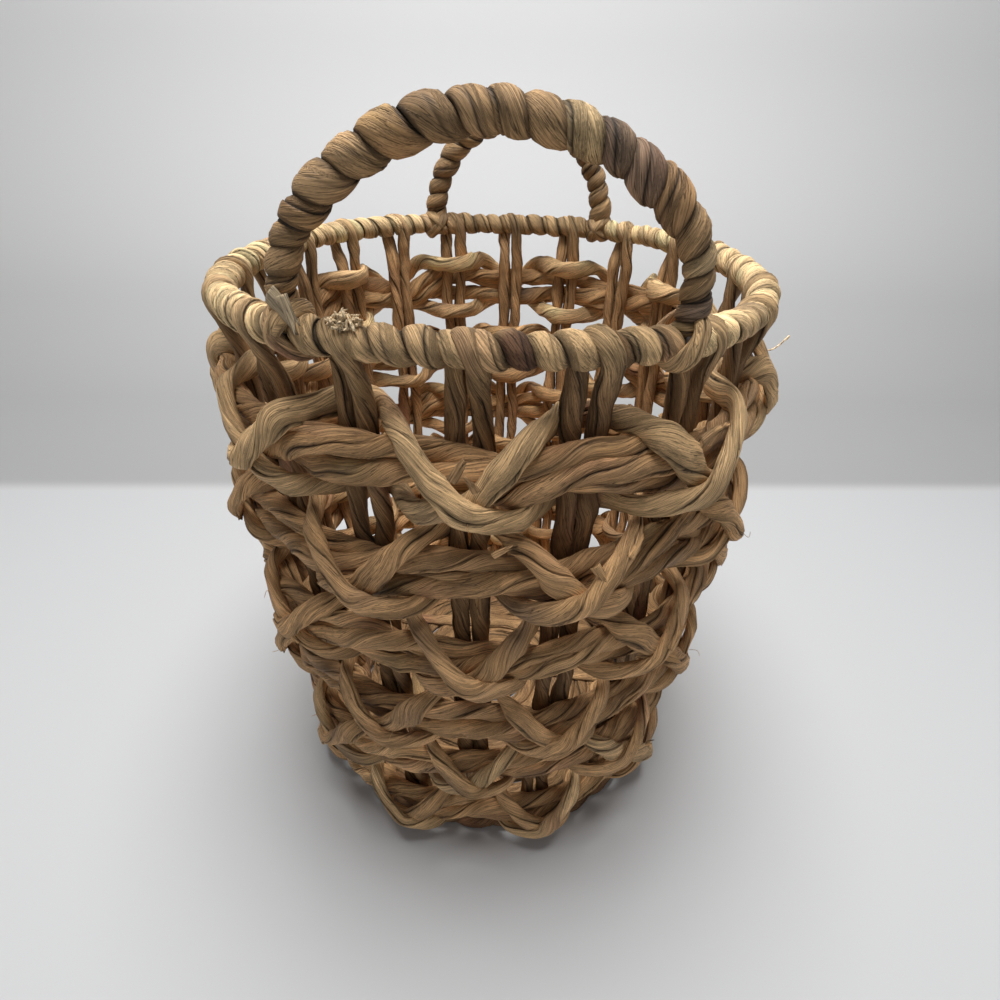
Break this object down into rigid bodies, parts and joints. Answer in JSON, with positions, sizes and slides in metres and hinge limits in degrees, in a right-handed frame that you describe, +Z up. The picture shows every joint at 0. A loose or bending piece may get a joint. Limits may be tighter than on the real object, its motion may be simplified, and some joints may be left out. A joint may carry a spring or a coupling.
{
  "type": "storage basket",
  "caption": "Tall open-weave storage basket of twisted plant-fibre strand, with a wrapped wire rim and two upright wrapped loop handles.",
  "frame": {"origin": "middle of the basket's underside, on the surface it stands on", "axes": "+Z up, -Y is the front, with a handle at the front and one at the back, +X to the right seen from the front"},
  "size_m": [0.3244, 0.358, 0.4149],
  "materials": {
    "stake": "dry matte fibre, brown in the shade of the weave",
    "filler": "dry matte fibre, striated along the twist",
    "wrapper": "dry matte fibre with a faint sheen on the ridges",
    "winding": "pale straw fibre, matte with a faint sheen",
    "floor": "dry matte fibre",
    "wire": "plain drawn iron wire, dull"
  },
  "bodies": {
    "root": {"rim_hoop": "wire", "rim_wrap_front": "winding", "rim_wrap_right_front": "winding", "rim_wrap_right_back": "winding", "rim_wrap_back": "winding", "rim_wrap_left_back": "winding", "rim_wrap_left_front": "winding", "handle_wire_front": "wire", "handle_wrap_front": "winding", "handle_wire_back": "wire", "handle_wrap_back": "winding", "stake_pair_01": "stake", "stake_pair_02": "stake", "stake_pair_03": "stake", "stake_pair_04": "stake", "stake_pair_05": "stake", "stake_pair_06": "stake", "stake_pair_07": "stake", "stake_pair_08": "stake", "stake_pair_09": "stake", "stake_pair_10": "stake", "stake_pair_11": "stake", "stake_pair_12": "stake", "stake_pair_13": "stake", "stake_pair_14": "stake", "stake_pair_15": "stake", "stake_pair_16": "stake", "stake_pair_17": "stake", "stake_pair_18": "stake", "stake_pair_19": "stake", "stake_pair_20": "stake", "band_1_filler_upper": "filler", "band_1_filler_lower": "filler", "band_1_wrapper_under": "wrapper", "band_1_wrapper_over": "wrapper", "band_2_filler_upper": "filler", "band_2_filler_lower": "filler", "band_2_wrapper_under": "wrapper", "band_2_wrapper_over": "wrapper", "band_3_filler_upper": "filler", "band_3_filler_lower": "filler", "band_3_wrapper_under": "wrapper", "band_3_wrapper_over": "wrapper", "band_4_filler_upper": "filler", "band_4_filler_lower": "filler", "band_4_wrapper_under": "wrapper", "band_4_wrapper_over": "wrapper", "band_5_filler_upper": "filler", "band_5_filler_lower": "filler", "band_5_wrapper_under": "wrapper", "band_5_wrapper_over": "wrapper", "band_6_filler_upper": "filler", "band_6_filler_lower": "filler", "band_6_wrapper_under": "wrapper", "band_6_wrapper_over": "wrapper", "base_ring": "floor", "floor_coil": "floor", "floor_stay_1": "floor", "floor_stay_2": "floor", "floor_stay_3": "floor"}
  },
  "joints": []
}
